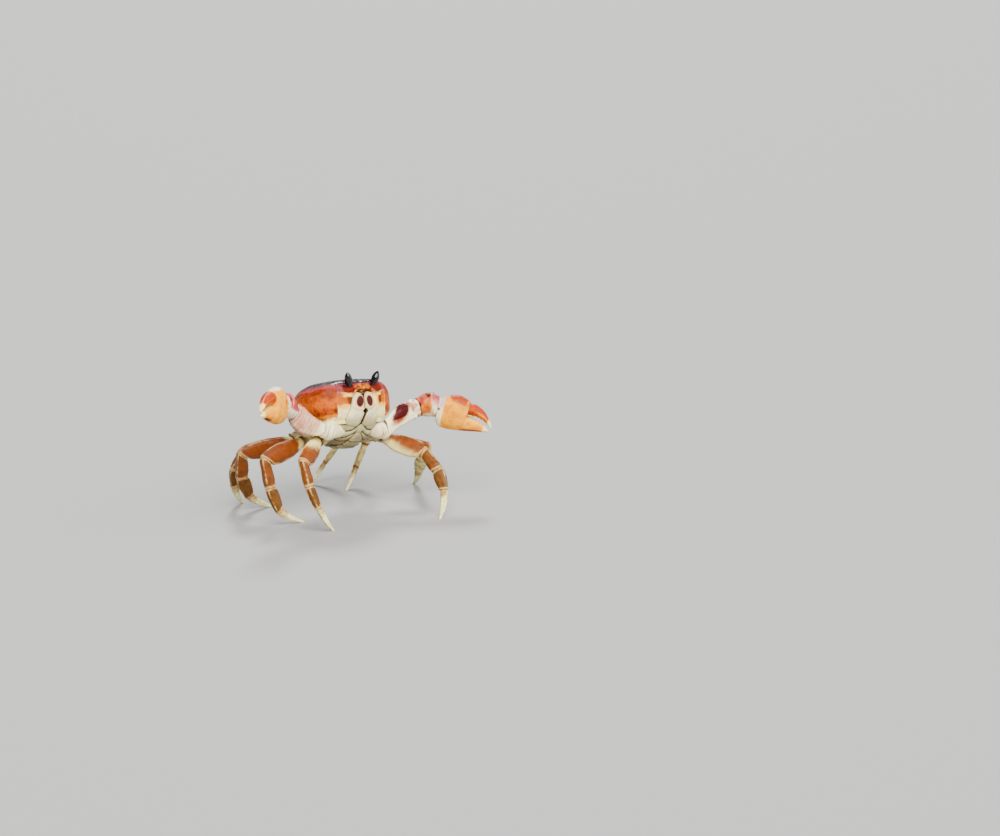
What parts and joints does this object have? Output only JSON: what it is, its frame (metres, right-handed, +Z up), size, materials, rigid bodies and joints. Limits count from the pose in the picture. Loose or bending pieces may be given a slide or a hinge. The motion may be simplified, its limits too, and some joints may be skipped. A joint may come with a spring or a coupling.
{
  "type": "land crab model",
  "caption": "Life-size still model of a land crab with a deep rounded shell, stalked eyes and raised claws, standing on its toes.",
  "frame": {"origin": "on the floor, under the middle of the whole crab's bounding box", "axes": "+X towards the crab's own left, -Y the way it faces, +Z up"},
  "size_m": [0.1278, 0.0954, 0.0701],
  "materials": {
    "carapace": "semi-gloss shell, purple-black above and orange on the sides",
    "belly": "satin cream shell with olive shading",
    "mouth": "satin cream shell with dark red ovals",
    "eye": "glossy black",
    "claw": "semi-gloss shell, white arm and orange hand",
    "leg": "satin orange-brown shell with cream ridges",
    "toe": "satin cream horn with fine spines"
  },
  "bodies": {
    "root": {"carapace": "carapace", "sternum": "belly", "abdomen": "belly", "eye_left": "eye", "antenna_left": "mouth", "maxilliped_left": "mouth", "claw_left_base": "belly", "claw_left_merus": "claw", "claw_left_carpus": "claw", "claw_left_hand": "claw", "claw_left_finger": "claw", "leg_left_1_hip": "leg", "leg_left_1_merus": "leg", "leg_left_1_carpus": "leg", "leg_left_1_propodus": "leg", "leg_left_1_dactyl": "toe", "leg_left_2_hip": "leg", "leg_left_2_merus": "leg", "leg_left_2_carpus": "leg", "leg_left_2_propodus": "leg", "leg_left_2_dactyl": "toe", "leg_left_3_hip": "leg", "leg_left_3_merus": "leg", "leg_left_3_carpus": "leg", "leg_left_3_propodus": "leg", "leg_left_3_dactyl": "toe", "leg_left_4_hip": "leg", "leg_left_4_merus": "leg", "leg_left_4_carpus": "leg", "leg_left_4_propodus": "leg", "leg_left_4_dactyl": "toe", "eye_right": "eye", "antenna_right": "mouth", "maxilliped_right": "mouth", "claw_right_base": "belly", "claw_right_merus": "claw", "claw_right_carpus": "claw", "claw_right_hand": "claw", "claw_right_finger": "claw", "leg_right_1_hip": "leg", "leg_right_1_merus": "leg", "leg_right_1_carpus": "leg", "leg_right_1_propodus": "leg", "leg_right_1_dactyl": "toe", "leg_right_2_hip": "leg", "leg_right_2_merus": "leg", "leg_right_2_carpus": "leg", "leg_right_2_propodus": "leg", "leg_right_2_dactyl": "toe", "leg_right_3_hip": "leg", "leg_right_3_merus": "leg", "leg_right_3_carpus": "leg", "leg_right_3_propodus": "leg", "leg_right_3_dactyl": "toe", "leg_right_4_hip": "leg", "leg_right_4_merus": "leg", "leg_right_4_carpus": "leg", "leg_right_4_propodus": "leg", "leg_right_4_dactyl": "toe"}
  },
  "joints": []
}
